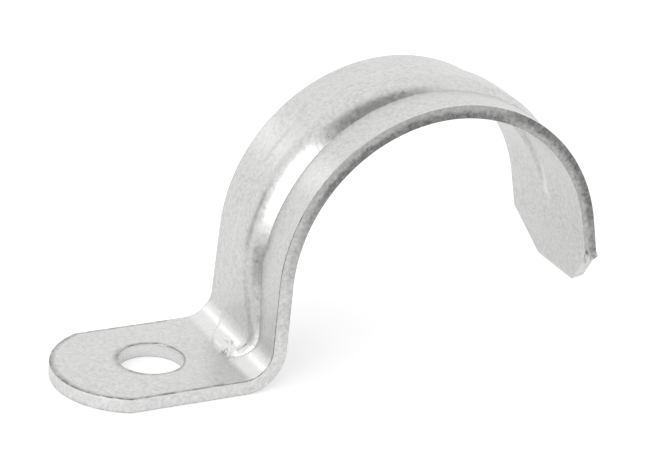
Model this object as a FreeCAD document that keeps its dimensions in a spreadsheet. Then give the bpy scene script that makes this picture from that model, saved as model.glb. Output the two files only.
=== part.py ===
import FreeCAD, Part
import Sketcher
import math
import os

# One-hole conduit strap, pressed and folded from one strip of zinc-plated steel.
#
# Frame: the origin is on the axis of the screw hole, on the face that lies against
# the wall. +X runs from the screw hole to the arch and the free tongue, +Y along the
# conduit, +Z away from the wall. Sizes are in millimetres and degrees.
#
# The strip is padded from its side outline. The stiffening rib keeps the thickness of
# the sheet: a ridge is fused on the outside, and a groove that follows the same line,
# one sheet thickness further in, is cut on the inside.

SIZES = {
    # the strip
    "sheet_thick": 1.5,
    "foot_width": 15.7,
    "arch_width": 15.2,
    "narrowing_start": 4.0,
    "narrowing_end": 11.0,
    # the seat for the conduit
    "seat_radius": 16.8,
    "seat_height": 10.5,
    "hole_to_seat": 28.65,
    # the foot, its bend and the leg
    "foot_tip": 10.45,
    "foot_end_ease": 0.65,
    "screw_hole_radius": 3.4,
    "bend_radius": 3.0,
    "leg_lean": 3.2,
    # the free tongue and its two clipped corners
    "tongue_lean": 11.2,
    "tongue_length": 8.2,
    "clip_drop": 3.9,
    "clip_near": 3.3,
    "clip_far": 4.8,
    # the pressed rib
    "rib_half_arch": 3.3,
    "rib_half_foot": 4.6,
    "flank_angle": 45.0,
    "flank_angle_foot": 55.0,
    "crown_rise": 0.68,
    "crown_back": 0.69,
    "crown_up": 0.4,
    "crown_lean": 3.4,
    "crown_bend_radius": 2.1,
    "nose_height": 0.6,
    "nose_angle": 60.0,
    "nose_reach": 5.0,
    "crown_rounding": 1.2,
    "groove_rounding": 0.3,
}

# How far a cutting outline runs past the material that it cuts.
OVERRUN = 1.0
# How far the rib's flanks are drawn below the sheet's face, and above it at each end.
FLANK_DEPTH = 1.2
FLANK_RISE_ARCH = 2.3
FLANK_RISE_FOOT = 4.2

# The points of a sketch element, and the sketch's own x axis and origin.
START = 1
END = 2
CENTRE = 3
X_AXIS = -1
ORIGIN = (-1, 1)

# Directions from an arc's centre, in degrees.
LEFT = 180
DOWN = 270
RIGHT = 360

# The crown's radius and the nose's place, bound to the sheet.
CROWN_FORMULA = "Dims.seat_radius + Dims.sheet_thick + Dims.crown_rise"
NOSE_FORMULA = "Dims.hole_to_seat - Dims.seat_radius - Dims.nose_reach"

doc = FreeCAD.newDocument("conduit_strap")
sheet = doc.addObject("Spreadsheet::Sheet", "Dims")
for row, (alias, value) in enumerate(SIZES.items(), start=1):
    sheet.set("A%d" % row, alias)
    sheet.set("B%d" % row, str(value))
    sheet.setAlias("B%d" % row, alias)
doc.recompute()


def size_of(alias):
    """A driving dimension, read back from the sheet."""
    return float(getattr(sheet, alias))


def sine(alias):
    return math.sin(math.radians(size_of(alias)))


def cosine(alias):
    return math.cos(math.radians(size_of(alias)))


def seat_place():
    """The seat's axis in side view."""
    return size_of("hole_to_seat"), size_of("seat_height")


def crown_place():
    """The centre and radius of the rib's crown over the arch, in side view."""
    seat_x, seat_z = seat_place()
    radius = size_of("seat_radius") + size_of("sheet_thick") + size_of("crown_rise")
    return (seat_x - size_of("crown_back"), seat_z + size_of("crown_up")), radius


def nose_place():
    """Where the rib's nose meets the foot, measured from the screw hole."""
    return size_of("hole_to_seat") - size_of("seat_radius") - size_of("nose_reach")


class Outline:
    """A sketch on one of its body's origin planes, drawn with named lines and arcs.

    Points are first drawn where the sizes put them; the constraints, which are bound
    to the sheet, then hold them there when a size changes.
    """

    def __init__(self, body, name, plane, height=None):
        self.sketch = body.newObject("Sketcher::SketchObject", name)
        origin_plane = [f for f in body.Origin.OriginFeatures if f.Role == plane][0]
        self.sketch.AttachmentSupport = [(origin_plane, "")]
        self.sketch.MapMode = "FlatFace"
        if height:
            self.sketch.setExpression("AttachmentOffset.Base.z", height)
        self.elements = {}

    def line(self, name, start, end, construction=False):
        segment = Part.LineSegment(FreeCAD.Vector(*start), FreeCAD.Vector(*end))
        self.elements[name] = self.sketch.addGeometry(segment, construction)

    def arc(self, name, centre, radius, first, last):
        circle = Part.Circle(FreeCAD.Vector(*centre), FreeCAD.Vector(0, 0, 1), radius)
        arc = Part.ArcOfCircle(circle, math.radians(first), math.radians(last))
        self.elements[name] = self.sketch.addGeometry(arc, False)

    def circle(self, name, centre, radius):
        circle = Part.Circle(FreeCAD.Vector(*centre), FreeCAD.Vector(0, 0, 1), radius)
        self.elements[name] = self.sketch.addGeometry(circle, False)

    def places(self, where):
        return [self.elements[w] if isinstance(w, str) else w for w in where]

    def tie(self, kind, *where):
        """A constraint without a size, such as tie("Tangent", "leg", END, "arch", END)."""
        self.sketch.addConstraint(Sketcher.Constraint(kind, *self.places(where)))

    def size(self, kind, value, formula, *where):
        """A dimension, drawn at its value and bound to the formula."""
        if kind == "Angle":
            value = math.radians(value)
        index = self.sketch.addConstraint(Sketcher.Constraint(kind, *self.places(where), value))
        self.sketch.setExpression("Constraints[%d]" % index, formula)

    def place(self, name, point, x, y):
        """Both coordinates of a point, each given as (value, formula)."""
        self.size("DistanceX", x[0], x[1], *ORIGIN, name, point)
        self.size("DistanceY", y[0], y[1], *ORIGIN, name, point)

    def polygon(self, name, corners):
        """A closed outline; each corner is ((x, formula), (y, formula))."""
        sides = [name + str(i) for i in range(len(corners))]
        following = corners[1:] + corners[:1]
        for side, (x, y), (next_x, next_y) in zip(sides, corners, following):
            self.line(side, (x[0], y[0]), (next_x[0], next_y[0]))
        for side, next_side in zip(sides, sides[1:] + sides[:1]):
            self.tie("Coincident", side, END, next_side, START)
        for side, (x, y) in zip(sides, corners):
            self.place(side, START, x, y)


def new_body(name):
    return doc.addObject("PartDesign::Body", name)


def pad_across(body, outline, name, width):
    """A pad to both sides of the strap's middle plane."""
    pad = body.newObject("PartDesign::Pad", name)
    pad.Profile = outline.sketch
    pad.Midplane = True
    pad.setExpression("Length", width)
    return pad


def pocket_through(body, outline, name, both_ways=True):
    """A cut through everything on both sides of the sketch, or only along its normal."""
    pocket = body.newObject("PartDesign::Pocket", name)
    pocket.Profile = outline.sketch
    pocket.Type = "ThroughAll"
    pocket.Midplane = both_ways
    pocket.Reversed = not both_ways
    return pocket


def draw_strip_line(outline, tag, depth, formula):
    """One line of the strip's side view, from the foot round the bend and leg to the arch.

    depth is its distance from the wall-side face: 0 on that face and one sheet
    thickness on the outer face. The foot's start and the arch's start stay free.
    """
    lean = size_of("leg_lean")
    arch_radius = size_of("seat_radius") + depth
    bend_radius = size_of("bend_radius") + size_of("sheet_thick") - depth
    seat = seat_place()
    bend_z = bend_radius + depth
    reach = arch_radius + bend_radius - (bend_z - seat[1]) * sine("leg_lean")
    bend = (seat[0] - reach / cosine("leg_lean"), bend_z)
    leg_bottom = (bend[0] + bend_radius * cosine("leg_lean"),
                  bend[1] - bend_radius * sine("leg_lean"))
    leg_top = (seat[0] - arch_radius * cosine("leg_lean"),
               seat[1] + arch_radius * sine("leg_lean"))

    foot, curve, leg, arch = (name + tag for name in ("foot", "bend", "leg", "arch"))
    outline.line(foot, (-size_of("foot_tip"), depth), (bend[0], depth))
    outline.arc(curve, bend, bend_radius, DOWN, RIGHT - lean)
    outline.line(leg, leg_bottom, leg_top)
    outline.arc(arch, seat, arch_radius, size_of("tongue_lean"), LEFT - lean)

    outline.tie("Tangent", foot, END, curve, START)
    outline.tie("Tangent", curve, END, leg, START)
    outline.tie("Tangent", leg, END, arch, END)
    outline.tie("Horizontal", foot)
    if depth:
        outline.size("DistanceY", depth, formula, *ORIGIN, foot, START)
    else:
        outline.tie("PointOnObject", foot, START, X_AXIS)
    outline.size("Radius", bend_radius, "Dims.bend_radius + Dims.sheet_thick - " + formula, curve)
    outline.size("Angle", 90 - lean, "(90 - Dims.leg_lean) * 1 deg", leg)
    outline.size("Radius", arch_radius, "Dims.seat_radius + " + formula, arch)
    outline.place(arch, CENTRE, (seat[0], "Dims.hole_to_seat"), (seat[1], "Dims.seat_height"))


def draw_crown_line(outline, depth, formula):
    """The rib's crown in side view, depth below the ridge's own crown.

    A large arc that leaves the arch slowly from the tongue on, so that the rib fades
    out there, then a straight run down the leg and a small arc into the nose.
    """
    lean = size_of("crown_lean")
    centre, ridge_radius = crown_place()
    radius = ridge_radius - depth
    bend_radius = size_of("crown_bend_radius") + depth
    bend_z = size_of("sheet_thick") + size_of("nose_height") + size_of("crown_bend_radius")
    reach = radius + bend_radius + (bend_z - centre[1]) * sine("crown_lean")
    bend = (centre[0] - reach / cosine("crown_lean"), bend_z)
    leg_bottom = (bend[0] + bend_radius * cosine("crown_lean"),
                  bend[1] + bend_radius * sine("crown_lean"))
    leg_top = (centre[0] - radius * cosine("crown_lean"),
               centre[1] - radius * sine("crown_lean"))

    outline.arc("crown", centre, radius, 0, LEFT + lean)
    outline.line("crown_leg", leg_bottom, leg_top)
    outline.arc("crown_bend", bend, bend_radius, DOWN, RIGHT + lean)

    outline.tie("Tangent", "crown", END, "crown_leg", END)
    outline.tie("Tangent", "crown_leg", START, "crown_bend", END)
    outline.size("Radius", radius, CROWN_FORMULA + " - " + formula, "crown")
    outline.place("crown", CENTRE, (centre[0], "Dims.hole_to_seat - Dims.crown_back"),
                  (centre[1], "Dims.seat_height + Dims.crown_up"))
    outline.size("DistanceY", centre[1], "Dims.seat_height + Dims.crown_up",
                 *ORIGIN, "crown", START)
    outline.size("Angle", 90 + lean, "(90 + Dims.crown_lean) * 1 deg", "crown_leg")
    outline.size("Radius", bend_radius, "Dims.crown_bend_radius + " + formula, "crown_bend")
    outline.size("DistanceY", bend_z, "Dims.sheet_thick + Dims.nose_height + Dims.crown_bend_radius",
                 *ORIGIN, "crown_bend", CENTRE)


def draw_nose(outline, depth, formula, bottom, bottom_formula):
    """The rib's end on the foot: a slope from the crown's bend down to a given height."""
    slope = math.tan(math.radians(size_of("nose_angle")))
    foot_x = (nose_place() + depth / sine("nose_angle")
              - (size_of("sheet_thick") - bottom) / slope)
    top = (foot_x + (size_of("sheet_thick") + size_of("nose_height") - depth - bottom) / slope,
           size_of("sheet_thick") + size_of("nose_height") - depth)
    outline.line("nose", (foot_x, bottom), top)
    outline.tie("Coincident", "nose", END, "crown_bend", START)
    outline.size("Angle", size_of("nose_angle"), "Dims.nose_angle * 1 deg", "nose")
    outline.size("DistanceX", foot_x,
                 NOSE_FORMULA + " + (%s) / sin(Dims.nose_angle * 1 deg)"
                 " - (Dims.sheet_thick - (%s)) / tan(Dims.nose_angle * 1 deg)"
                 % (formula, bottom_formula), *ORIGIN, "nose", START)


def make_strip():
    """The bare strip: foot, bend, leg, arch and tongue, with its hole and its cut ends."""
    body = new_body("strip")
    thick = size_of("sheet_thick")
    seat = seat_place()

    side = Outline(body, "strip_side", "XZ_Plane")
    draw_strip_line(side, "_in", 0.0, "0")
    draw_strip_line(side, "_out", thick, "Dims.sheet_thick")
    for tag, depth in (("_in", 0.0), ("_out", thick)):
        radius = size_of("seat_radius") + depth
        top = (seat[0] + radius * cosine("tongue_lean"), seat[1] + radius * sine("tongue_lean"))
        end = (top[0] + size_of("tongue_length") * sine("tongue_lean"),
               top[1] - size_of("tongue_length") * cosine("tongue_lean"))
        side.line("tongue" + tag, end, top)
        side.tie("Tangent", "tongue" + tag, END, "arch" + tag, START)
        side.size("Angle", 90 + size_of("tongue_lean"), "(90 + Dims.tongue_lean) * 1 deg",
                  "tongue" + tag)
    side.size("Distance", size_of("tongue_length"), "Dims.tongue_length", "tongue_in")
    side.line("tongue_end", (end[0] - thick * cosine("tongue_lean"),
                             end[1] - thick * sine("tongue_lean")), end)
    side.tie("Coincident", "tongue_end", START, "tongue_in", START)
    side.tie("Coincident", "tongue_end", END, "tongue_out", START)
    side.tie("Perpendicular", "tongue_end", "tongue_in")
    side.line("foot_end", (-size_of("foot_tip"), thick), (-size_of("foot_tip"), 0))
    side.tie("Coincident", "foot_end", START, "foot_out", START)
    side.tie("Coincident", "foot_end", END, "foot_in", START)
    side.tie("Vertical", "foot_end")
    side.size("DistanceX", -size_of("foot_tip") - OVERRUN, "-Dims.foot_tip - %g" % OVERRUN,
              *ORIGIN, "foot_in", START)
    pad_across(body, side, "strip_pad", "Dims.foot_width")

    # The leg narrows a little from the foot's width to the arch's.
    front = Outline(body, "narrowing_outline", "YZ_Plane")
    top = seat[1] + size_of("seat_radius") + thick + OVERRUN
    top_formula = "Dims.seat_height + Dims.seat_radius + Dims.sheet_thick + %g" % OVERRUN
    for name, sign in (("near", -1), ("far", 1)):
        wide = (sign * size_of("foot_width") / 2, "%d * Dims.foot_width / 2" % sign)
        narrow = (sign * size_of("arch_width") / 2, "%d * Dims.arch_width / 2" % sign)
        outside = (sign * (size_of("foot_width") / 2 + OVERRUN),
                   "%d * (Dims.foot_width / 2 + %g)" % (sign, OVERRUN))
        start = (size_of("narrowing_start"), "Dims.narrowing_start")
        end = (size_of("narrowing_end"), "Dims.narrowing_end")
        above = (top, top_formula)
        front.polygon(name, [(wide, start), (narrow, end), (narrow, above),
                             (outside, above), (outside, start)])
    pocket_through(body, front, "narrowing")

    # The foot's end is one arc, a little larger than half the width.
    plan = Outline(body, "foot_end_outline", "XY_Plane")
    half = size_of("foot_width") / 2
    radius = half + size_of("foot_end_ease")
    radius_formula = "Dims.foot_width / 2 + Dims.foot_end_ease"
    centre_x = radius - size_of("foot_tip")
    spread = math.degrees(math.asin(half / radius))
    corner_x = centre_x - math.sqrt(radius ** 2 - half ** 2)
    outer_y = half + OVERRUN
    outer_x = -size_of("foot_tip") - 2 * OVERRUN
    plan.arc("end", (centre_x, 0), radius, LEFT - spread, LEFT + spread)
    plan.line("far_step", (corner_x, half), (corner_x, outer_y))
    plan.line("far_side", (corner_x, outer_y), (outer_x, outer_y))
    plan.line("back", (outer_x, outer_y), (outer_x, -outer_y))
    plan.line("near_side", (outer_x, -outer_y), (corner_x, -outer_y))
    plan.line("near_step", (corner_x, -outer_y), (corner_x, -half))
    plan.tie("Coincident", "end", START, "far_step", START)
    plan.tie("Coincident", "far_step", END, "far_side", START)
    plan.tie("Coincident", "far_side", END, "back", START)
    plan.tie("Coincident", "back", END, "near_side", START)
    plan.tie("Coincident", "near_side", END, "near_step", START)
    plan.tie("Coincident", "near_step", END, "end", END)
    plan.tie("PointOnObject", "end", CENTRE, X_AXIS)
    plan.size("Radius", radius, radius_formula, "end")
    plan.size("DistanceX", centre_x, radius_formula + " - Dims.foot_tip", *ORIGIN, "end", CENTRE)
    plan.size("DistanceY", half, "Dims.foot_width / 2", *ORIGIN, "end", START)
    plan.size("DistanceY", -half, "-Dims.foot_width / 2", *ORIGIN, "end", END)
    for upright in ("far_step", "back", "near_step"):
        plan.tie("Vertical", upright)
    for level in ("far_side", "near_side"):
        plan.tie("Horizontal", level)
    plan.place("back", START, (outer_x, "-Dims.foot_tip - %g" % (2 * OVERRUN)),
               (outer_y, "Dims.foot_width / 2 + %g" % OVERRUN))
    plan.size("DistanceY", -outer_y, "-Dims.foot_width / 2 - %g" % OVERRUN, *ORIGIN, "back", END)
    pocket_through(body, plan, "foot_end")

    hole = Outline(body, "screw_hole_outline", "XY_Plane")
    hole.circle("hole", (0, 0), size_of("screw_hole_radius"))
    hole.tie("Coincident", "hole", CENTRE, *ORIGIN)
    hole.size("Radius", size_of("screw_hole_radius"), "Dims.screw_hole_radius", "hole")
    pocket_through(body, hole, "screw_hole")

    # The tongue's two corners are clipped, the far one wider than the near one.
    clips = Outline(body, "clip_outline", "YZ_Plane", "Dims.hole_to_seat")
    low = (size_of("seat_height") + size_of("seat_radius") * sine("tongue_lean")
           - size_of("tongue_length") * cosine("tongue_lean"))
    low_formula = ("Dims.seat_height + Dims.seat_radius * sin(Dims.tongue_lean * 1 deg)"
                   " - Dims.tongue_length * cos(Dims.tongue_lean * 1 deg)")
    for name, sign in (("clip_near", -1), ("clip_far", 1)):
        wide = size_of(name)
        fall = OVERRUN * size_of("clip_drop") / wide
        fall_formula = "%g * Dims.clip_drop / Dims.%s" % (OVERRUN, name)
        outside = (sign * (size_of("arch_width") / 2 + OVERRUN),
                   "%d * (Dims.arch_width / 2 + %g)" % (sign, OVERRUN))
        inside = (sign * (size_of("arch_width") / 2 - wide - OVERRUN),
                  "%d * (Dims.arch_width / 2 - Dims.%s - %g)" % (sign, name, OVERRUN))
        high = (low + size_of("clip_drop") + fall,
                low_formula + " + Dims.clip_drop + " + fall_formula)
        under = (low - fall, low_formula + " - " + fall_formula)
        clips.polygon(name, [(outside, high), (inside, under), (outside, under)])
    pocket_through(body, clips, "tongue_clips", both_ways=False)
    return body


def make_flanks(name, depth, formula):
    """The solid between the rib's two sloping flanks, without its crown.

    depth is 0 for the ridge and one sheet thickness for the groove, whose flanks lie
    that far inside the ridge's. Down the leg the rib widens and its flanks grow
    steeper.
    """
    body = new_body(name)
    face = size_of("seat_radius") + size_of("sheet_thick") - depth
    face_formula = "(Dims.seat_radius + Dims.sheet_thick - %s)" % formula
    seat_x = size_of("hole_to_seat")

    def section(outline, alias, angle, base_x, base_formula, outward, rise):
        """A trapezoid across the rib: wide under the sheet's face, narrow above it."""
        slope = 1 / math.tan(math.radians(size_of(angle)))
        slope_formula = "tan(Dims.%s * 1 deg)" % angle
        inset = depth * math.tan(math.radians(size_of(angle) / 2))
        inset_formula = "(%s) * tan(Dims.%s * 0.5 deg)" % (formula, angle)
        half = size_of(alias) - inset
        half_formula = "Dims.%s - %s" % (alias, inset_formula)
        corners = []
        for height, sign in ((-FLANK_DEPTH, -1), (rise, -1), (rise, 1), (-FLANK_DEPTH, 1)):
            x = (base_x + outward * height, "%s + %g" % (base_formula, outward * height))
            y = (sign * (half - height * slope),
                 "%d * (%s - %g / %s)" % (sign, half_formula, height, slope_formula))
            corners.append((x, y))
        outline.polygon("flank", corners)

    arch = Outline(body, name + "_arch", "XY_Plane", "Dims.seat_height")
    section(arch, "rib_half_arch", "flank_angle", seat_x + face,
            "Dims.hole_to_seat + " + face_formula, 1, FLANK_RISE_ARCH)
    arch.line("axis", (seat_x, -OVERRUN), (seat_x, OVERRUN), construction=True)
    arch.place("axis", START, (seat_x, "Dims.hole_to_seat"), (-OVERRUN, "%g" % -OVERRUN))
    arch.place("axis", END, (seat_x, "Dims.hole_to_seat"), (OVERRUN, "%g" % OVERRUN))
    turned = body.newObject("PartDesign::Revolution", name + "_turned")
    turned.Profile = arch.sketch
    turned.ReferenceAxis = (arch.sketch, ["Axis0"])
    turned.Angle = 180
    turned.Reversed = True

    top = Outline(body, name + "_leg_top", "XY_Plane", "Dims.seat_height")
    section(top, "rib_half_arch", "flank_angle", seat_x - face,
            "Dims.hole_to_seat - " + face_formula, -1, FLANK_RISE_ARCH)
    bottom = Outline(body, name + "_leg_bottom", "XY_Plane", "%g" % -OVERRUN)
    lean_x = face / cosine("leg_lean") + (size_of("seat_height") + OVERRUN) * (
        sine("leg_lean") / cosine("leg_lean"))
    section(bottom, "rib_half_foot", "flank_angle_foot", seat_x - lean_x,
            "Dims.hole_to_seat - %s / cos(Dims.leg_lean * 1 deg)"
            " - (Dims.seat_height + %g) * tan(Dims.leg_lean * 1 deg)" % (face_formula, OVERRUN),
            -1, FLANK_RISE_FOOT)
    leg = body.newObject("PartDesign::AdditiveLoft", name + "_leg")
    leg.Profile = top.sketch
    leg.Sections = [bottom.sketch]
    leg.Ruled = True
    return body


def combine(body, kind, name, tool):
    """A boolean step inside a body: its solid so far with another body's solid."""
    step = body.newObject("PartDesign::Boolean", name)
    step.setObjects([tool])
    step.Type = kind
    return step


def crown_edges(shape, side):
    """The long edges where a rib form's crown meets its two flanks."""
    crown = []
    for name in ("crown", "crown_leg", "crown_bend", "nose"):
        edge = side.sketch.Geometry[side.elements[name]].toShape()
        edge.Placement = side.sketch.Placement
        crown.append(edge)
    crown = Part.makeCompound(crown)
    found = []
    for number, edge in enumerate(shape.Edges, start=1):
        middle = edge.valueAt((edge.FirstParameter + edge.LastParameter) / 2)
        on_crown = crown.distToShape(Part.Vertex(middle.x, 0, middle.z))[0] < 0.001
        runs_across = abs(middle.y) < 0.1
        if on_crown and not runs_across:
            found.append("Edge%d" % number)
    return found


def shape_rib(body, side, flanks, name, rounding):
    """Gives a rib's side-view band its sloping flanks and its rounded crown."""
    cut = combine(body, "Common", name + "_between_flanks", flanks)
    doc.recompute()
    fillet = body.newObject("PartDesign::Fillet", name + "_rounding")
    fillet.Base = (cut, crown_edges(cut.Shape, side))
    fillet.setExpression("Radius", rounding)


def make_ridge():
    """The rib's outer form, from the middle of the sheet out to its crown."""
    body = new_body("ridge")
    middle = size_of("sheet_thick") / 2
    side = Outline(body, "ridge_side", "XZ_Plane")
    draw_strip_line(side, "_mid", middle, "Dims.sheet_thick / 2")
    draw_crown_line(side, 0.0, "0")
    draw_nose(side, 0.0, "0", middle, "Dims.sheet_thick / 2")
    side.tie("Coincident", "nose", START, "foot_mid", START)
    root = (size_of("hole_to_seat") + size_of("seat_radius") + middle, size_of("seat_height"))
    centre, radius = crown_place()
    side.line("root", root, (centre[0] + radius, centre[1]))
    side.tie("Coincident", "root", START, "arch_mid", START)
    side.tie("Coincident", "root", END, "crown", START)
    side.size("DistanceY", root[1], "Dims.seat_height", *ORIGIN, "root", START)
    pad_across(body, side, "ridge_pad", "Dims.foot_width")
    shape_rib(body, side, make_flanks("ridge_flanks", 0.0, "0"), "ridge", "Dims.crown_rounding")
    return body


def make_groove():
    """The rib's inner form, from the groove's ceiling in to the open side of the arch."""
    body = new_body("groove")
    thick = size_of("sheet_thick")
    side = Outline(body, "groove_side", "XZ_Plane")
    draw_crown_line(side, thick, "Dims.sheet_thick")
    draw_nose(side, thick, "Dims.sheet_thick", -OVERRUN, "%g" % -OVERRUN)
    start_x = (nose_place() + thick / sine("nose_angle")
               - (thick + OVERRUN) * cosine("nose_angle") / sine("nose_angle"))
    inner_x = size_of("hole_to_seat") - size_of("seat_radius") / 2
    centre, radius = crown_place()
    crown = (centre[0] + radius - thick, centre[1])
    side.line("under", (start_x, -OVERRUN), (inner_x, -OVERRUN))
    side.line("upright", (inner_x, -OVERRUN), (inner_x, crown[1]))
    side.line("chord", (inner_x, crown[1]), crown)
    side.tie("Coincident", "nose", START, "under", START)
    side.tie("Coincident", "under", END, "upright", START)
    side.tie("Coincident", "upright", END, "chord", START)
    side.tie("Coincident", "chord", END, "crown", START)
    side.tie("Horizontal", "under")
    side.tie("Vertical", "upright")
    side.tie("Horizontal", "chord")
    side.place("under", END, (inner_x, "Dims.hole_to_seat - Dims.seat_radius / 2"),
               (-OVERRUN, "%g" % -OVERRUN))
    pad_across(body, side, "groove_pad", "Dims.foot_width")
    shape_rib(body, side, make_flanks("groove_flanks", thick, "Dims.sheet_thick"), "groove",
              "Dims.groove_rounding")
    return body


strap = make_strip()
ridge = make_ridge()
groove = make_groove()
bare_volume = strap.Shape.Volume
ridged = combine(strap, "Fuse", "with_ridge", ridge)
doc.recompute()
combine(strap, "Cut", "with_groove", groove)
strap.Label = "conduit_strap"
strap.Placement = FreeCAD.Placement()
doc.recompute()

for item in doc.Objects:
    if "Invalid" in item.State or "Error" in item.State:
        raise SystemExit("%s failed: %s" % (item.Name, item.getStatusString()))
shape = strap.Shape
if shape.isNull() or not shape.isValid() or len(shape.Solids) != 1:
    raise SystemExit("the strap is not one valid solid")
print("volume of the bare strip, with the ridge, and with the groove, in cubic mm:",
      round(bare_volume, 1), round(ridged.Shape.Volume, 1), round(shape.Volume, 1))
print("faces:", len(shape.Faces))

os.makedirs("parts", exist_ok=True)
shape.exportStep("parts/conduit_strap.step")
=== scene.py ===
import math

import bmesh
import bpy
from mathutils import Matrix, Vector


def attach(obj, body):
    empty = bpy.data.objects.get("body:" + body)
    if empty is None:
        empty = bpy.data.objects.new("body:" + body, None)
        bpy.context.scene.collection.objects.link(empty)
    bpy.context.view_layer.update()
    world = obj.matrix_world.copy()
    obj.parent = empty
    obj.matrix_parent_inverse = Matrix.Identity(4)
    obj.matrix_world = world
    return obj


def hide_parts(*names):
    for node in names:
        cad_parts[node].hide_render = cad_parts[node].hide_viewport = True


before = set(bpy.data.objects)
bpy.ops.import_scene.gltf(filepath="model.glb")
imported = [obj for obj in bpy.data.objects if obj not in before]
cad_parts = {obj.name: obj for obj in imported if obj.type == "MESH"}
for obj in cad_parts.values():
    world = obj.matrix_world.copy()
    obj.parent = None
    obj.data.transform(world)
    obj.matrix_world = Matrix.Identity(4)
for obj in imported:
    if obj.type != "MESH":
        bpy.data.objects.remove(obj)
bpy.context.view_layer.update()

# The strap is worked as it is in the shop: a blank is cut and marked for the rib, folded
# along a fold line, the rib is pressed into it, and the sheet gets its thickness and its
# sheared edges. All sizes are in metres: the screw hole's axis is Z, the wall is Z = 0,
# and the conduit runs along Y.
MM = 0.001
TINY = 0.0005 * MM

SHEET = 1.5 * MM
FOOT_WIDTH = 15.7 * MM
ARCH_WIDTH = 15.2 * MM
SEAT_RADIUS = 16.8 * MM
SEAT_X = 28.65 * MM
SEAT_Z = 10.5 * MM
FOOT_TIP = 10.45 * MM
FOOT_END_RADIUS = 8.5 * MM
HOLE_RADIUS = 3.4 * MM
BEND_RADIUS = 3.0 * MM
LEG_LEAN = math.radians(3.2)
TONGUE_LEAN = math.radians(11.2)
TONGUE_LENGTH = 8.2 * MM
CLIP_DROP = 3.9 * MM
CLIP_NEAR = 3.3 * MM
CLIP_FAR = 4.8 * MM

# The fold line runs through the middle of the sheet.
MIDDLE = SHEET / 2
BEND_MID = BEND_RADIUS + MIDDLE
ARCH_MID = SEAT_RADIUS + MIDDLE
BEND_Z = SHEET + BEND_RADIUS
REACH = ARCH_MID + BEND_MID + (SEAT_Z - BEND_Z) * math.sin(LEG_LEAN)
BEND_X = SEAT_X - REACH / math.cos(LEG_LEAN)
BEND_TURN = math.pi / 2 - LEG_LEAN
ARCH_TURN = math.pi - LEG_LEAN - TONGUE_LEAN
CENTRES = math.hypot(SEAT_X - BEND_X, SEAT_Z - BEND_Z)
LEG_LENGTH = math.sqrt(CENTRES ** 2 - (ARCH_MID + BEND_MID) ** 2)
TONGUE_TOP_Z = SEAT_Z + ARCH_MID * math.sin(TONGUE_LEAN)
TONGUE_CORNER_Z = TONGUE_TOP_Z - TONGUE_LENGTH * math.cos(TONGUE_LEAN) + CLIP_DROP

# Stations along the flat blank, measured from the screw hole.
LEG_START = BEND_X + BEND_MID * BEND_TURN
ARCH_START = LEG_START + LEG_LENGTH
TONGUE_START = ARCH_START + ARCH_MID * ARCH_TURN
BLANK_END = TONGUE_START + TONGUE_LENGTH

# The blank's faces: columns across it, rows along it, and the cuts of the foot's outline.
FOOT_EDGE = 5.0 * MM
COLUMNS = 96
ROWS = 176
CLIP_ROWS = 10
NOSE_ROWS_END = 13.0 * MM
END_CORNERS = 120
LONG_SIDE = 5 * MM
LONG_SIDE_CUTS = 14
SHORT_SIDE = 2 * MM
SHORT_SIDE_CUTS = 7
HOLE_RINGS = 9
SPOKE_LEAST = 0.9 * MM
WELD = 0.01 * MM
BEND_STEPS = 90
ARCH_STEPS = 330

# The pressed rib. Over the arch its crown is a circle of its own, set off from the seat's.
RIB_HIGH = 1.8 * MM
RIB_END = TONGUE_START + 1 * MM
CROWN_RADIUS = 18.98 * MM
CROWN_BACK = 0.69 * MM
CROWN_UP = 0.4 * MM
LEG_RIB_HIGH = 1.45 * MM
LEG_RIB_LOW = 0.65 * MM
RIB_HALF_ARCH = 3.3 * MM
RIB_HALF_FOOT = 4.2 * MM
NOSE_STATION = 7.6 * MM
NOSE_HALF = 2.2 * MM
NOSE_LENGTH = 4.6 * MM
NOSE_ROUND = 1.3 * MM

# Its flanks are steeper at the nose and turn to the arch's angle along the leg's start.
NOSE_ANGLE = math.radians(60)
FLANK_ANGLE = math.radians(45)
NOSE_ANGLE_END = LEG_START - 2 * MM
FLANK_ANGLE_START = LEG_START + 3 * MM

# How softly the flanks pass into the crown, and into the sheet at the rib's foot.
LEG_EASE = 0.45 * MM
CROWN_EASE = 0.7 * MM
CROWN_EASE_START = ARCH_START + 3 * MM
CROWN_EASE_SHARE = 0.95
FOLD_EASE = 0.15 * MM

# The rib's thin tail, between two turns about the seat's centre (0 is level, to +X).
TAIL_START = math.radians(66)
TAIL_END = math.radians(12)
TAIL_FADE_END = TAIL_END + math.radians(6)
TAIL_HIGH = 0.18 * MM
TAIL_WIDTH = 0.3
TAIL_EASE = 0.3 * MM

# The wrinkles beside the nose: their height, their place, and the waves they are made of.
WRINKLE = 0.07 * MM
WRINKLE_STATION = NOSE_STATION + 0.8 * MM
WRINKLE_ACROSS = -1.2 * MM
WRINKLE_SQUASH = 0.8
WRINKLE_FULL = 0.5 * MM
WRINKLE_NONE = 2.0 * MM
WAVE_ALONG = 0.19 * MM
WAVE_SWAY = 2.1
WAVE_SWAY_ACROSS = 0.45 * MM
WAVE_ACROSS = 0.33 * MM
WAVE_SLANT = 0.6 * MM

# The sheared edges. A face share is how far a point's normal points out of the sheet:
# 0 on a cut square to the sheet, 1 on the sheet's own faces.
EDGE_ROUND = 0.07 * MM
EDGE_ROUND_CUTS = 2
EDGE_ANGLE = math.radians(55)
SMOOTH_ANGLE = math.radians(40)
SHEAR_CUTS = 5
SHEAR_THROUGH = 0.6 * SHEET
SHEAR_ROUGH = 0.012 * MM
SHEAR_SEED = 7
TORN_FACE = 0.3
TORN_LOW = -0.75 * MIDDLE
TORN_HIGH = 0.1 * MIDDLE
BURR_REACH = 1.0 * MM
BURR_ROUGH = 0.45 * MM
BURR_SEED = 3
BURR_FACE = 0.8

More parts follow.
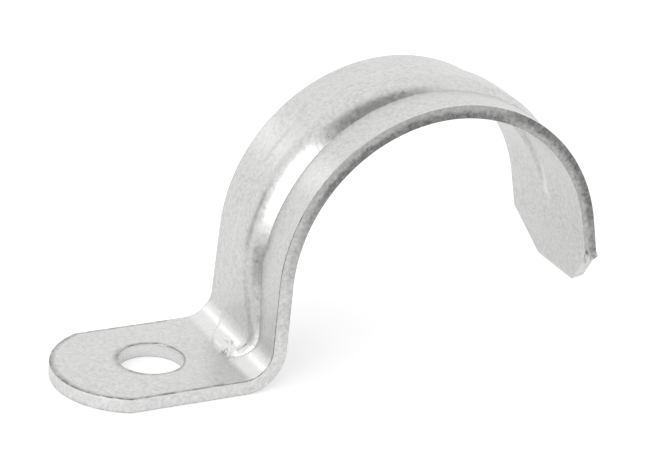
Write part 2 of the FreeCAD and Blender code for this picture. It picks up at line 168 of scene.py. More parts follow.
# Where the finish changes, and where shade and highlights are painted on. A pair holds
# where a change starts and where it ends. Turns over the arch are from level on the
# tongue's side, but for ARCH_CUT_SHADE_TURN and CORNER_HIGHLIGHT_TURN, which are from level
# on the leg's side. The bend's run from leg to foot.
CUT_FACE = 0.5
BEND_CUT_FACE = 0.25
CUT_FROM = 6.5 * MM
HOLE_RIM = 0.3 * MM
RIM_NEAR = 0.25 * MM
CORNER_DEPTH = 0.88 * MIDDLE
CORNER_FACE_LOW = 0.3
CORNER_FACE_HIGH = 0.995
# The cut's painted shade: none on the foot, whose cut is painted light as a reflection of
# the floor, growing up the leg and over the arch.
LEG_CUT_SHADE = 0.3
LEG_CUT_SHADE_Z = (3 * MM, 9 * MM)
ARCH_CUT_SHADE_TURN = (math.radians(-4), math.radians(48))
CLIP_CUT_SHADE = 0.1
TONGUE_CUT_SHADE = 0.8
TONGUE_CUT_SHADE_Z = (TONGUE_CORNER_Z, TONGUE_CORNER_Z + 0.2 * MM)
# Where the cut's corners carry a painted highlight instead of painted shade.
CORNER_HIGHLIGHT_TURN = (math.radians(35), math.radians(75))
CUT_SIDE_TURN = (math.radians(80), math.radians(55))
# The bend's burnished band, painted lighter as a highlight, and the burnished streak and
# spot along the rib's tail, painted as highlights.
BEND_RUB_HIGHLIGHT_IN = (math.radians(20), math.radians(35))
BEND_RUB_HIGHLIGHT_OUT = (math.radians(72), math.radians(88))
TAIL_RUB_HIGHLIGHT_IN = 0.5 * MM
TAIL_RUB_HIGHLIGHT_EDGE = (0.12 * MM, 0.4 * MM)
TAIL_HIGHLIGHT_SPOT = math.radians(15)
TAIL_HIGHLIGHT_SPOT_STRETCH = 2.2
TAIL_HIGHLIGHT_SPOT_EDGE = (0.3 * MM, 0.9 * MM)

# The plating: a fine grain, a mottle and wide clouds. A SPREAD is the part of a noise
# that is stretched to a whole step, and a SHARE is how strongly a layer covers.
GRAIN = {"scale": 2500, "detail": 3, "rough": 0.65}
GRAIN_SPREAD = (0.36, 0.64)
GRAIN_GREYS = ((0.57, 0.57, 0.565, 1), (0.74, 0.74, 0.73, 1))
MOTTLE = {"scale": 1100, "detail": 4, "rough": 0.6}
MOTTLE_SPREAD = (0.4, 0.7)
MOTTLE_SHARE = 0.4
MOTTLE_GREY = (0.77, 0.77, 0.765, 1)
CLOUD = {"scale": 170, "detail": 3, "rough": 0.5}
CLOUD_SPREAD = (0.42, 0.66)
CLOUD_SHARE = 0.35
CLOUD_GREY = (0.72, 0.72, 0.715, 1)
# Burnished places are painted lighter: a painted highlight at the bend and the rib's tail,
# and painted light against the shade in the hole.
RUBBED_AND_PAINTED_LIGHT_SHARE = 0.7
RUBBED_AND_PAINTED_LIGHT_GREY = (0.86, 0.86, 0.855, 1)

# The cut: its grain, the wavering line between its two bands, its colour painted light as a
# reflection of the floor and its colours in painted shade, and the painted shade and
# painted highlight on its corners.
CUT_GRAIN = {"scale": 2400, "detail": 4, "rough": 0.7}
CUT_GRAIN_SPREAD = (0.32, 0.68)
WAVER = {"scale": 1300, "detail": 3, "rough": 0.6}
WAVER_SPREAD = (0.3, 0.7)
WAVER_DEPTH = (-0.3, 0.3)
TORN_DEPTH = (0.35, -0.25)
# The cut painted light as a reflection of the floor, and its burnished and torn bands,
# darker steel partly in painted shade.
CUT_WITH_FLOOR_REFLECTION = ((0.64, 0.64, 0.635, 1), (0.86, 0.86, 0.855, 1))
BURNISHED_CUT = ((0.34, 0.34, 0.335, 1), (0.52, 0.52, 0.515, 1))
TORN_CUT = ((0.12, 0.12, 0.118, 1), (0.32, 0.32, 0.315, 1))
# Painted shade in patches along the cut's corners, and a painted highlight line.
CORNER_SHADE_SPREAD = (0.35, 0.65)
CORNER_SHADE_SHARE = (0.3, 1.0)
CORNER_SHADE_GREY = (0.16, 0.16, 0.158, 1)
CORNER_HIGHLIGHT_GREY = (0.78, 0.78, 0.775, 1)

# How rough the surface is, and its fine relief, which has less of the grain.
ROUGH_SPREAD = (0.55, 0.95)
ROUGHNESS = (0.26, 0.36)
CUT_ROUGHER = 0.12
RUBBED_SMOOTHER = 0.05
GRAIN_PART = 0.5
RELIEF_STRENGTH = 0.5
RELIEF_HIGH = 0.03 * MM

# The studio: a pale floor, two soft boxes, four dark cards for the strap to mirror.
FLOOR_SIZE = 6
FLOOR_DROP = 0.02 * MM
FLOOR_GREY = 0.82
FLOOR_ROUGH = 0.9
FLOOR_SHEEN = 0.1
FLOOR_GLOW = (("Is Camera Ray", 0.31), ("Is Glossy Ray", 0.12))
WORLD_STRENGTH = 1.0
WHITE = (1, 1, 1, 1)
STUDIO_AIM = Vector((0.02, 0, 0.012))
# Name, place, width, height and shine of each soft box.
LAMPS = (("side_box", (-0.60, -0.47, 0.32), 0.46, 0.5, 2.2),
         ("back_box", (-0.45, 0.81, 0.37), 0.26, 0.18, 0.55))
# Name, place, width, height and grey of each card, and whether it lies flat.
CARDS = (("front_card", (-0.03, -0.37, 0.59), 0.70, 0.42, 0.2, False),
         ("left_card", (-0.66, 0.19, 0.10), 0.16, 0.26, 0.12, False),
         ("left_mat", (-0.14, 0.035, 0.001), 0.18, 0.05, 0.06, True),
         ("low_card", (-0.0415, -0.037, 0.001), 0.067, 0.046, 0.04, True))
CAMERA_PLACE = (-92.42 * MM, -216.0 * MM, 119.42 * MM)
CAMERA_TURN = tuple(math.radians(turn) for turn in (66.418, -3.731, -25.731))
CAMERA_LENS = 140.57
CAMERA_NEAR = 0.01


def deselect():
    if bpy.context.object and bpy.context.object.mode != "OBJECT":
        bpy.ops.object.mode_set(mode="OBJECT")
    bpy.ops.object.select_all(action="DESELECT")


def choose(piece):
    """Selects one piece alone and makes it the active one."""
    deselect()
    piece.select_set(True)
    bpy.context.view_layer.objects.active = piece


def pick(test, kind="EDGE"):
    """In edit mode, selects only the vertices or edges that pass the test."""
    bpy.ops.mesh.select_mode(type=kind)
    bpy.ops.mesh.select_all(action="DESELECT")
    piece = bpy.context.object
    work = bmesh.from_edit_mesh(piece.data)
    for part in {"VERT": work.verts, "EDGE": work.edges}[kind]:
        if test(part):
            part.select_set(True)
    work.select_flush_mode()
    bmesh.update_edit_mesh(piece.data)


def ends(edge):
    return edge.verts[0].co, edge.verts[1].co


def along_x(edge):
    return abs(edge.verts[0].co.y - edge.verts[1].co.y) < TINY


def at_x(edge, x):
    """Whether both ends of an edge lie at a given x."""
    return all(abs(end.x - x) < TINY for end in ends(edge))


def apply_place():
    bpy.ops.object.transform_apply(location=True, rotation=True, scale=True)


def blend(low, high, share):
    return low + (high - low) * share


def step(value, low, high):
    """A smooth step from nought at low to one at high."""
    share = min(max((value - low) / (high - low), 0.0), 1.0)
    return share * share * (3 - 2 * share)


def smooth_min(a, b, ease):
    """The smaller of two heights, with a rounded change from one to the other."""
    overlap = max(ease - abs(a - b), 0.0) / ease
    return min(a, b) - overlap * overlap * ease / 4


def divide_sides(shortest, cuts):
    """Cuts the foot's straight sides that are longer than a given length."""
    def long_side(edge):
        start, end = ends(edge)
        return (all(abs(abs(c.y) - FOOT_WIDTH / 2) < TINY for c in (start, end))
                and abs(start.x - end.x) > shortest)

    pick(long_side)
    bpy.ops.mesh.subdivide(number_cuts=cuts)


def cut_foot():
    """The foot's flat blank: a rounded end, two straight sides and the screw hole."""
    deselect()
    end_x = FOOT_END_RADIUS - FOOT_TIP
    bpy.ops.mesh.primitive_circle_add(vertices=END_CORNERS, radius=FOOT_END_RADIUS,
                                      fill_type="NGON", location=(end_x, 0, 0))
    apply_place()
    foot = bpy.context.object
    bpy.ops.object.mode_set(mode="EDIT")
    for place, normal in (((end_x, 0, 0), (1, 0, 0)),
                          ((0, FOOT_WIDTH / 2, 0), (0, 1, 0)),
                          ((0, -FOOT_WIDTH / 2, 0), (0, -1, 0))):
        bpy.ops.mesh.select_all(action="SELECT")
        bpy.ops.mesh.bisect(plane_co=place, plane_no=normal, clear_outer=True,
                            threshold=TINY)
    pick(lambda e: at_x(e, end_x))
    bpy.ops.mesh.extrude_edges_move(
        TRANSFORM_OT_translate={"value": (FOOT_EDGE - end_x, 0, 0)})
    pick(lambda e: at_x(e, end_x))
    bpy.ops.mesh.delete(type="EDGE")
    bpy.ops.mesh.select_all(action="SELECT")
    bpy.ops.mesh.delete(type="ONLY_FACE")
    pick(lambda e: at_x(e, FOOT_EDGE))
    bpy.ops.mesh.subdivide(number_cuts=COLUMNS - 1)
    divide_sides(LONG_SIDE, LONG_SIDE_CUTS)
    divide_sides(SHORT_SIDE, SHORT_SIDE_CUTS)

    # The outline is carried inwards to the hole, and the band between is cut in rings.
    bpy.ops.mesh.select_all(action="SELECT")
    bpy.ops.mesh.extrude_edges_move()
    bpy.ops.transform.tosphere(value=1.0, center_override=(0, 0, 0))
    work = bmesh.from_edit_mesh(foot.data)
    found = [v.co.length for v in work.verts if v.select]
    ratio = HOLE_RADIUS / (sum(found) / len(found))
    bpy.ops.transform.resize(value=(ratio, ratio, 1), center_override=(0, 0, 0))
    pick(lambda e: abs(ends(e)[0].length - ends(e)[1].length) > SPOKE_LEAST
         and min(c.length for c in ends(e)) < HOLE_RADIUS + TINY)
    bpy.ops.mesh.subdivide(number_cuts=HOLE_RINGS)
    bpy.ops.object.mode_set(mode="OBJECT")
    return foot


def narrow_rows(blank):
    """Narrows the blank from the foot's width to the arch's, a row at a time."""
    row_gap = (BLANK_END - FOOT_EDGE) / ROWS
    rows = sorted({round(v.co.x, 6) for v in bmesh.from_edit_mesh(blank.data).verts
                   if v.co.x > LEG_START})
    ratio = ARCH_WIDTH / FOOT_WIDTH
    for row in rows:
        if row > ARCH_START:
            break
        share = (row - LEG_START) / (ARCH_START - LEG_START)
        pick(lambda v: abs(v.co.x - row) < row_gap / 4, "VERT")
        bpy.ops.transform.resize(value=(1, 1 + (ratio - 1) * share, 1),
                                 center_override=(0, 0, 0))
    pick(lambda v: v.co.x > ARCH_START, "VERT")
    bpy.ops.transform.resize(value=(1, ratio, 1), center_override=(0, 0, 0))


def clip_corners(length):
    """Carries the blank on to the tongue's tip, narrowing it to the clipped corners."""
    near = ARCH_WIDTH / 2 - CLIP_NEAR
    far = ARCH_WIDTH / 2 - CLIP_FAR
    keep = (near + far) / ARCH_WIDTH
    centre = (far - near) / 2 / (1 - keep)
    pick(lambda e: e.is_boundary and at_x(e, BLANK_END - length))
    width = 1.0
    for row in range(CLIP_ROWS):
        next_width = 1 + (keep - 1) * (row + 1) / CLIP_ROWS
        bpy.ops.mesh.extrude_edges_move(
            TRANSFORM_OT_translate={"value": (length / CLIP_ROWS, 0, 0)})
        bpy.ops.transform.resize(value=(1, next_width / width, 1),
                                 center_override=(0, centre, 0))
        width = next_width


def cut_blank():
    """The strap's whole blank, flat, with its narrowed arch and its clipped tongue."""
    foot = cut_foot()
    clip_length = CLIP_DROP / math.cos(TONGUE_LEAN)
    clip_start = BLANK_END - clip_length
    deselect()
    bpy.ops.mesh.primitive_grid_add(x_subdivisions=ROWS, y_subdivisions=COLUMNS, size=1,
                                    location=((FOOT_EDGE + clip_start) / 2, 0, 0))
    bpy.ops.transform.resize(value=(clip_start - FOOT_EDGE, FOOT_WIDTH, 1))
    apply_place()
    foot.select_set(True)
    bpy.context.view_layer.objects.active = foot
    bpy.ops.object.join()
    blank = bpy.context.object
    bpy.ops.object.mode_set(mode="EDIT")
    bpy.ops.mesh.select_mode(type="VERT")
    bpy.ops.mesh.select_all(action="SELECT")
    bpy.ops.mesh.remove_doubles(threshold=WELD)
    # The nose and the bend are finer than the arch, so their rows are cut once more.
    pick(lambda e: along_x(e)
         and all(FOOT_EDGE - TINY < end.x < NOSE_ROWS_END for end in ends(e)))
    bpy.ops.mesh.subdivide(number_cuts=1)
    narrow_rows(blank)
    clip_corners(clip_length)
    bpy.ops.mesh.select_all(action="SELECT")
    bpy.ops.mesh.normals_make_consistent(inside=False)
    bpy.ops.object.mode_set(mode="OBJECT")
    return blank


def draw_fold_line():
    """The strap's middle line in side view: a curve from the foot's tip to the tongue's."""
    deselect()
    bpy.ops.mesh.primitive_plane_add(size=MM, location=(-FOOT_TIP, 0, MIDDLE))
    apply_place()
    bpy.ops.object.mode_set(mode="EDIT")
    bpy.ops.mesh.select_mode(type="VERT")
    bpy.ops.mesh.select_all(action="SELECT")
    bpy.ops.mesh.merge(type="CENTER")

    def draw(x, z):
        bpy.ops.mesh.extrude_vertices_move(TRANSFORM_OT_translate={"value": (x, 0, z)})

    draw(FOOT_TIP + BEND_X, 0)
    bpy.ops.mesh.spin(steps=BEND_STEPS, angle=BEND_TURN, center=(BEND_X, 0, BEND_Z),
                      axis=(0, 1, 0))
    draw(LEG_LENGTH * math.sin(LEG_LEAN), LEG_LENGTH * math.cos(LEG_LEAN))
    bpy.ops.mesh.spin(steps=ARCH_STEPS, angle=-ARCH_TURN, center=(SEAT_X, 0, SEAT_Z),
                      axis=(0, 1, 0))
    draw(TONGUE_LENGTH * math.sin(TONGUE_LEAN), -TONGUE_LENGTH * math.cos(TONGUE_LEAN))
    bpy.ops.object.mode_set(mode="OBJECT")
    bpy.ops.object.convert(target="CURVE")
    line = bpy.context.object
    if line.data.splines[0].points[0].co.x > 0:
        bpy.ops.object.mode_set(mode="EDIT")
        bpy.ops.curve.select_all(action="SELECT")
        bpy.ops.curve.switch_direction()
        bpy.ops.object.mode_set(mode="OBJECT")
    return line


def fold(blank, line):
    """Folds the flat blank along the fold line."""
    choose(blank)
    blank.location.x = FOOT_TIP
    apply_place()
    modifier = blank.modifiers.new("fold", "CURVE")
    modifier.object = line
    modifier.deform_axis = "POS_X"
    bpy.ops.object.modifier_apply(modifier="fold")


def arch_turn(station):
    """The turn about the seat's centre that a station of the blank is folded to."""
    return math.pi - LEG_LEAN - (station - ARCH_START) / ARCH_MID


def crown_height(station):
    """How far the rib's crown stands above the sheet at a station along the blank."""
    if station >= ARCH_START:
        turn = arch_turn(station)
        along = CROWN_UP * math.sin(turn) - CROWN_BACK * math.cos(turn)
        off = CROWN_BACK ** 2 + CROWN_UP ** 2
        reach = along + math.sqrt(CROWN_RADIUS ** 2 - off + along ** 2)
        tail = TAIL_HIGH * step(turn, TAIL_END, TAIL_FADE_END)
        return max(reach - SEAT_RADIUS - SHEET, tail)
    if station >= LEG_START:
        return blend(LEG_RIB_LOW, LEG_RIB_HIGH, (station - LEG_START) / LEG_LENGTH)
    return LEG_RIB_LOW


def rib_half_width(station):
    """Half the rib's width at its foot, along the blank."""
    half = blend(RIB_HALF_ARCH, RIB_HALF_FOOT, step(station, ARCH_START, LEG_START))
    if station > ARCH_START:
        half *= blend(TAIL_WIDTH, 1.0, step(arch_turn(station), TAIL_END, TAIL_START))
    closing = min(max((LEG_START - station) / NOSE_LENGTH, 0.0), 1.0)
    return half + (NOSE_HALF - RIB_HALF_FOOT) * closing * closing


def crumple(station, across):
    """The small wrinkles that the press leaves in the sheet beside the nose."""
    away = math.hypot(station - WRINKLE_STATION, (across - WRINKLE_ACROSS) * WRINKLE_SQUASH)
    sway = WAVE_SWAY * math.sin(across / WAVE_SWAY_ACROSS)
    waves = (math.sin(station / WAVE_ALONG + sway)
             * math.cos(across / WAVE_ACROSS - station / WAVE_SLANT))
    return WRINKLE * waves * (1 - step(away, WRINKLE_FULL, WRINKLE_NONE))


def rib_height(station, across):
    """The height of the rib over the sheet: sloping flanks, a rounded crown and a nose."""
    if station > RIB_END:
        return 0.0
    angle = blend(NOSE_ANGLE, FLANK_ANGLE, step(station, NOSE_ANGLE_END, FLANK_ANGLE_START))
    half = rib_half_width(station) - MIDDLE * math.tan(angle / 2)
    beside = abs(across) - (half - NOSE_ROUND)
    before = (NOSE_STATION + NOSE_ROUND) - station
    outside = math.hypot(max(beside, 0.0), max(before, 0.0))
    inside = NOSE_ROUND - outside - min(max(beside, before), 0.0)
    flank = inside * math.tan(angle)
    crown = crown_height(station)
    ease = blend(LEG_EASE, CROWN_EASE, step(station, LEG_START, CROWN_EASE_START))
    ease = max(min(ease, CROWN_EASE_SHARE * crown), TAIL_EASE)
    height = smooth_min(flank, crown, ease)
    height = -smooth_min(-height, 0.0, FOLD_EASE)
    return max(height + crumple(station, across), 0.0)


def mark_rib(blank):
    """Weighs the blank's vertices by the rib's height, for the press."""
    group = blank.vertex_groups.new(name="rib")
    for vertex in blank.data.vertices:
        height = rib_height(vertex.co.x, vertex.co.y)
        if height > 0:
            group.add([vertex.index], min(height / RIB_HIGH, 1.0), "REPLACE")


def press_rib(strap):
    """Presses the rib outwards into the folded sheet."""
    modifier = strap.modifiers.new("press", "DISPLACE")
    modifier.direction = "NORMAL"
    modifier.mid_level = 0.0
    modifier.strength = RIB_HIGH
    modifier.vertex_group = "rib"
    bpy.ops.object.modifier_apply(modifier="press")


def thicken(strap):
    """Gives the sheet its thickness to both sides of the fold line, and rounds the cut."""
    modifier = strap.modifiers.new("thickness", "SOLIDIFY")
    modifier.thickness = SHEET
    modifier.offset = 0.0
    modifier.use_even_offset = True
    modifier.use_quality_normals = True
    bpy.ops.object.modifier_apply(modifier="thickness")
    modifier = strap.modifiers.new("edges", "BEVEL")
    modifier.limit_method = "ANGLE"
    modifier.angle_limit = EDGE_ANGLE
    modifier.width = EDGE_ROUND
    modifier.segments = EDGE_ROUND_CUTS
    modifier.use_clamp_overlap = False
    bpy.ops.object.modifier_apply(modifier="edges")


def sheet_place(point):
    """Where a point is: its part of the strap, its turn there (nought on the foot and the
    leg), its depth over the sheet's middle, and the outward way."""
    seat = Vector((point.x - SEAT_X, 0, point.z - SEAT_Z))
    turn = math.atan2(seat.z, seat.x)
    if point.x > SEAT_X and turn < TONGUE_LEAN:
        outward = Vector((math.cos(TONGUE_LEAN), 0, math.sin(TONGUE_LEAN)))
        return "tongue", turn, seat.dot(outward) - ARCH_MID, outward
    if 0 <= turn <= math.pi - LEG_LEAN:
        return "arch", turn, seat.length - ARCH_MID, seat.normalized()
    if point.x <= BEND_X:
        return "foot", 0.0, point.z - MIDDLE, Vector((0, 0, 1))
    bend = Vector((point.x - BEND_X, 0, point.z - BEND_Z))
    turn = math.atan2(bend.z, bend.x)
    if turn < -LEG_LEAN:
        return "bend", turn, BEND_MID - bend.length, -bend.normalized()
    outward = Vector((-math.cos(LEG_LEAN), 0, math.sin(LEG_LEAN)))
    return "leg", 0.0, seat.dot(outward) - ARCH_MID, outward


def rough_shear(strap):
    """Divides the sheared edges through the sheet and roughens their torn part."""
    choose(strap)
    bpy.ops.object.mode_set(mode="EDIT")

    def through_sheet(edge):
        start, end = ends(edge)
        outward = sheet_place((start + end) / 2)[3]
        return abs((end - start).dot(outward)) > SHEAR_THROUGH

    def torn(vertex):
        depth, outward = sheet_place(vertex.co)[2:]
        return (abs(vertex.normal.dot(outward)) < TORN_FACE
                and TORN_LOW < depth < TORN_HIGH)

    pick(through_sheet)
    bpy.ops.mesh.subdivide(number_cuts=SHEAR_CUTS)
    pick(torn, "VERT")
    bpy.ops.transform.vertex_random(offset=SHEAR_ROUGH, seed=SHEAR_SEED)

    # The cutter left a small burr at the near corner of the tongue.
    drop = (TONGUE_TOP_Z - TONGUE_CORNER_Z) * math.tan(TONGUE_LEAN)
    corner = Vector((SEAT_X + ARCH_MID * math.cos(TONGUE_LEAN) + drop,
                     -ARCH_WIDTH / 2, TONGUE_CORNER_Z))
    pick(lambda v: (v.co - corner).length < BURR_REACH
         and abs(v.normal.dot(sheet_place(v.co)[3])) < BURR_FACE, "VERT")
    bpy.ops.transform.vertex_random(offset=BURR_ROUGH, seed=BURR_SEED)
    bpy.ops.object.mode_set(mode="OBJECT")


def in_hole(point):
    return math.hypot(point.x, point.y) < HOLE_RADIUS + HOLE_RIM


def is_cut(point, part, face):
    """Whether a point is finished as the sheared outline. The hole's wall is left out and
    painted lighter instead, against its shade.
    """
    if in_hole(point):
        return False
    if abs(point.y) < CUT_FROM and part not in ("foot", "tongue"):
        return False
    return face <= BEND_CUT_FACE if part == "bend" else face < CUT_FACE


def near_rim(point, part):
    """Whether a point lies close to the sheet's cut outline."""
    if part == "tongue":
        return True
    if part != "foot":
        return abs(point.y) > ARCH_WIDTH / 2 - RIM_NEAR
    end_x = FOOT_END_RADIUS - FOOT_TIP
    from_end = math.hypot(point.x - end_x, point.y)
    round_end = point.x < end_x and from_end > FOOT_END_RADIUS - RIM_NEAR
    hole = math.hypot(point.x, point.y) < HOLE_RADIUS + RIM_NEAR
    return round_end or hole or abs(point.y) > FOOT_WIDTH / 2 - RIM_NEAR


def is_corner(point, part, depth, face):
    """Whether a point lies on the small rounding between the sheet's face and the cut."""
    return (abs(depth) > CORNER_DEPTH and CORNER_FACE_LOW < face < CORNER_FACE_HIGH
            and near_rim(point, part))


def cut_painted_shade(point, part, turn):
    """How far the cut is painted in shade: not on the foot, where the cut is painted light
    as a reflection of the floor, more up the leg and over the arch, and hardly on the
    clipped corners."""
    if part == "tongue":
        return blend(CLIP_CUT_SHADE, TONGUE_CUT_SHADE, step(point.z, *TONGUE_CUT_SHADE_Z))
    if part == "leg":
        return LEG_CUT_SHADE * step(point.z, *LEG_CUT_SHADE_Z)
    if part == "arch":
        return blend(LEG_CUT_SHADE, 1.0, step(math.pi - turn, *ARCH_CUT_SHADE_TURN))
    return 0.0


def cut_side(part, turn):
    """The face of the sheet that the burnished band is next to: 1 outer, -1 inner."""
    if part == "tongue":
        return -1.0
    if part == "arch":
        return 1 - 2 * step(turn, *CUT_SIDE_TURN)
    return 1.0


def corner_highlight_share(part, turn):
    """How far the cut's corners carry a painted highlight; where they don't, they carry
    painted shade.
    """
    if part == "tongue":
        return 1.0
    if part == "arch":
        return step(math.pi - turn, *CORNER_HIGHLIGHT_TURN)
    return 0.0


def painted_light_and_burnish(point, part, turn, depth, face):
    """How far the sheet is burnished and painted light: the hole's wall, painted lighter
    against its shade, the bend, burnished and painted with a highlight, and burnished
    streaks and a spot along the rib's tail, painted as highlights.
    """
    if in_hole(point) and face < CUT_FACE:
        return 1.0
    if part == "bend" and depth > 0:
        return step(-turn, *BEND_RUB_HIGHLIGHT_IN) * (1 - step(-turn, *BEND_RUB_HIGHLIGHT_OUT))
    if part == "arch" and depth < 0 and TAIL_END < turn < TAIL_START:
        crease = (RIB_HALF_ARCH - TAIL_RUB_HIGHLIGHT_IN) * step(turn, TAIL_END, TAIL_START)
        spot = math.hypot(point.y, (turn - TAIL_HIGHLIGHT_SPOT) * ARCH_MID / TAIL_HIGHLIGHT_SPOT_STRETCH)
        return max(1 - step(abs(point.y + crease), *TAIL_RUB_HIGHLIGHT_EDGE),
                   1 - step(spot, *TAIL_HIGHLIGHT_SPOT_EDGE))
    return 0.0


def mark_finish(strap):
    """Keeps for the finish where the strap is sheared, where its cut is in painted shade,
    where it is burnished and painted light, and where its corners carry painted shade and
    painted highlights.
    """
    names = ("sheared", "depth", "cut_shade", "burnish_and_painted_light", "corner", "corner_highlight")
    marks = {name: [] for name in names}
    for vertex in strap.data.vertices:
        point = vertex.co
        part, turn, depth, outward = sheet_place(point)
        face = abs(vertex.normal.dot(outward))
        marks["sheared"].append(float(is_cut(point, part, face)))
        marks["depth"].append(cut_side(part, turn) * depth / MIDDLE)
        marks["cut_shade"].append(cut_painted_shade(point, part, turn))
        marks["burnish_and_painted_light"].append(painted_light_and_burnish(point, part, turn, depth, face))
        marks["corner"].append(float(is_corner(point, part, depth, face)))
        marks["corner_highlight"].append(corner_highlight_share(part, turn))
    for name in names:
        layer = strap.data.attributes.new(name, "FLOAT", "POINT")
        layer.data.foreach_set("value", marks[name])


def make_zinc():
    """Bright zinc plating with a fine mottled grain, and duller steel on the cut; painted
    shade, painted highlights and a painted reflection of the floor are mixed in.
    """
    zinc = bpy.data.materials.new("zinc_plated_steel")
    zinc.use_nodes = True
    nodes = zinc.node_tree.nodes
    link = zinc.node_tree.links.new
    shader = nodes["Principled BSDF"]
    shader.inputs["Metallic"].default_value = 1.0
    place = nodes.new("ShaderNodeTexCoord").outputs["Object"]

    def fill(socket, value):
        """Sets a socket's value, or links it where the value comes from another node."""
        if isinstance(value, (int, float, tuple)):
            socket.default_value = value
        else:
            link(value, socket)

    def attribute(name):
        node = nodes.new("ShaderNodeAttribute")
        node.attribute_name = name
        return node.outputs["Fac"]

    def noise(scale, detail, rough):
        node = nodes.new("ShaderNodeTexNoise")
        node.inputs["Scale"].default_value = scale
        node.inputs["Detail"].default_value = detail
        node.inputs["Roughness"].default_value = rough
        link(place, node.inputs["Vector"])
        return node.outputs["Fac"]

    def spread(value, low, high, to_low=0.0, to_high=1.0):
        node = nodes.new("ShaderNodeMapRange")
        node.inputs["From Min"].default_value = low
        node.inputs["From Max"].default_value = high
        node.inputs["To Min"].default_value = to_low
        node.inputs["To Max"].default_value = to_high
        link(value, node.inputs["Value"])
        return node.outputs["Result"]

    def math_node(kind, first, second):
        node = nodes.new("ShaderNodeMath")
        node.operation = kind
        fill(node.inputs[0], first)
        fill(node.inputs[1], second)
        return node.outputs["Value"]

    def mix(share, first, second):
        node = nodes.new("ShaderNodeMix")
        node.data_type = "RGBA"
        # A mix node keeps its share in socket 0 and its two colours in 6 and 7.
        fill(node.inputs[0], share)
        fill(node.inputs[6], first)
        fill(node.inputs[7], second)
        return node.outputs[2]

    grain = noise(**GRAIN)
    mottle = noise(**MOTTLE)
    cloud = noise(**CLOUD)
    burnish_and_painted_light = attribute("burnish_and_painted_light")
    sheared = attribute("sheared")

    # Plating: a pale grey with a fine darker grain, a little cloudier over wide areas.
    plating = mix(spread(grain, *GRAIN_SPREAD), *GRAIN_GREYS)
    plating = mix(spread(mottle, *MOTTLE_SPREAD, 0.0, MOTTLE_SHARE), plating, MOTTLE_GREY)
    plating = mix(spread(cloud, *CLOUD_SPREAD, 0.0, CLOUD_SHARE), plating, CLOUD_GREY)
    # Burnished places are painted lighter: a painted highlight at the bend and along the
    # rib's tail, and the hole's wall painted lighter against its shade.
    plating = mix(math_node("MULTIPLY", burnish_and_painted_light, RUBBED_AND_PAINTED_LIGHT_SHARE), plating, RUBBED_AND_PAINTED_LIGHT_GREY)

    # Cut: a burnished band next to one face of the sheet, and a torn band beside it, both
    # darker steel and in painted shade up the leg and over the arch; on the foot the cut is
    # painted light as a reflection of the floor.
    waver = spread(noise(**WAVER), *WAVER_SPREAD, *WAVER_DEPTH)
    torn = spread(math_node("ADD", attribute("depth"), waver), *TORN_DEPTH)
    cut_grain = spread(noise(**CUT_GRAIN), *CUT_GRAIN_SPREAD)
    shaded_cut = mix(torn, mix(cut_grain, *BURNISHED_CUT), mix(cut_grain, *TORN_CUT))
    # The cut is painted light as a reflection of the floor on the foot, and in painted
    # shade up the leg and over the arch.
    cut = mix(attribute("cut_shade"), mix(cut_grain, *CUT_WITH_FLOOR_REFLECTION), shaded_cut)
    finish = mix(sheared, plating, cut)

    # Corners of the cut: a line of painted shade in patches, and a painted highlight line
    # over the arch and the tongue.
    patches = spread(mottle, *CORNER_SHADE_SPREAD, *CORNER_SHADE_SHARE)
    corner_shade = math_node("MULTIPLY", attribute("corner"), patches)
    corner_shade_and_highlight = mix(attribute("corner_highlight"), CORNER_SHADE_GREY, CORNER_HIGHLIGHT_GREY)
    link(mix(corner_shade, finish, corner_shade_and_highlight), shader.inputs["Base Color"])

    texture = math_node("ADD", mottle, math_node("MULTIPLY", grain, GRAIN_PART))
    rough = spread(texture, *ROUGH_SPREAD, *ROUGHNESS)
    rough = math_node("ADD", rough, math_node("MULTIPLY", sheared, CUT_ROUGHER))
    rough = math_node("SUBTRACT", rough, math_node("MULTIPLY", burnish_and_painted_light, RUBBED_SMOOTHER))
    link(rough, shader.inputs["Roughness"])

    bump = nodes.new("ShaderNodeBump")
    bump.inputs["Strength"].default_value = RELIEF_STRENGTH
    bump.inputs["Distance"].default_value = RELIEF_HIGH
    link(texture, bump.inputs["Height"])
    link(bump.outputs["Normal"], shader.inputs["Normal"])
    return zinc


def lay_floor():
    """A pale floor that keeps the strap's shadow and glows a little to the camera."""
    bpy.ops.mesh.primitive_plane_add(size=FLOOR_SIZE, location=(0, 0, -FLOOR_DROP))
    floor = bpy.context.object
    floor.name = "floor"
    paper = bpy.data.materials.new("floor_paper")
    paper.use_nodes = True
    nodes = paper.node_tree.nodes
    links = paper.node_tree.links
    shader = nodes["Principled BSDF"]
    shader.inputs["Base Color"].default_value = (FLOOR_GREY, FLOOR_GREY, FLOOR_GREY, 1)
    shader.inputs["Roughness"].default_value = FLOOR_ROUGH
    shader.inputs["Specular IOR Level"].default_value = FLOOR_SHEEN
    shader.inputs["Emission Color"].default_value = WHITE
    path = nodes.new("ShaderNodeLightPath")
    glow = nodes.new("ShaderNodeMath")
    glow.operation = "MAXIMUM"
    for socket, (ray, strength) in zip(glow.inputs, FLOOR_GLOW):
        part = nodes.new("ShaderNodeMath")
        part.operation = "MULTIPLY"
        part.inputs[1].default_value = strength
        links.new(path.outputs[ray], part.inputs[0])
        links.new(part.outputs["Value"], socket)
    links.new(glow.outputs["Value"], shader.inputs["Emission Strength"])
    floor.data.materials.append(paper)


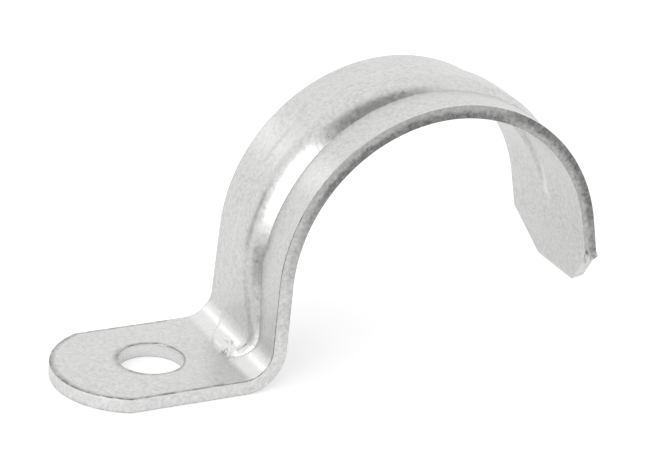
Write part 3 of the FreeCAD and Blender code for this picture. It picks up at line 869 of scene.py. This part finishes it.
def light_world():
    """Even white light from all around."""
    world = bpy.data.worlds.new("studio")
    bpy.context.scene.world = world
    world.use_nodes = True
    sky = world.node_tree.nodes["Background"]
    sky.inputs["Color"].default_value = WHITE
    sky.inputs["Strength"].default_value = WORLD_STRENGTH


def hang_lamp(name, place, wide, high, shine):
    """A soft box turned towards the strap; its shine does not depend on its size."""
    bpy.ops.object.light_add(type="AREA", location=place)
    light = bpy.context.object
    light.name = name
    light.data.shape = "RECTANGLE"
    light.data.size = wide
    light.data.size_y = high
    light.data.energy = shine * math.pi * wide * high
    aim = STUDIO_AIM - light.location
    light.rotation_euler = aim.to_track_quat("-Z", "Y").to_euler()


def set_card(name, place, wide, high, grey, flat):
    """A dark card that only shows in what the strap mirrors."""
    bpy.ops.mesh.primitive_plane_add(size=1, location=place)
    board = bpy.context.object
    board.name = name
    board.scale = (wide, high, 1)
    if not flat:
        aim = STUDIO_AIM - board.location
        board.rotation_euler = aim.to_track_quat("Z", "Y").to_euler()
    apply_place()
    felt = bpy.data.materials.new(name + "_felt")
    felt.use_nodes = True
    shader = felt.node_tree.nodes["Principled BSDF"]
    shader.inputs["Base Color"].default_value = (grey, grey, grey, 1)
    shader.inputs["Roughness"].default_value = 1.0
    board.data.materials.append(felt)
    board.visible_camera = False
    board.visible_shadow = False
    board.visible_diffuse = False


def set_camera():
    bpy.ops.object.camera_add(location=CAMERA_PLACE, rotation=CAMERA_TURN)
    camera = bpy.context.object
    camera.data.lens = CAMERA_LENS
    camera.data.clip_start = CAMERA_NEAR
    bpy.context.scene.camera = camera


strap = cut_blank()
mark_rib(strap)
line = draw_fold_line()
fold(strap, line)
press_rib(strap)
thicken(strap)
rough_shear(strap)
mark_finish(strap)
strap.name = "pressed_strap"
strap.data.name = "pressed_strap"
choose(line)
bpy.ops.object.delete()
choose(strap)
bpy.ops.object.shade_smooth_by_angle(angle=SMOOTH_ANGLE)
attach(strap, "root")
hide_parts("conduit_strap")
strap.data.materials.clear()
strap.data.materials.append(make_zinc())

lay_floor()
light_world()
for lamp in LAMPS:
    hang_lamp(*lamp)
for card in CARDS:
    set_card(*card)
set_camera()
bpy.context.scene.view_settings.view_transform = "Standard"
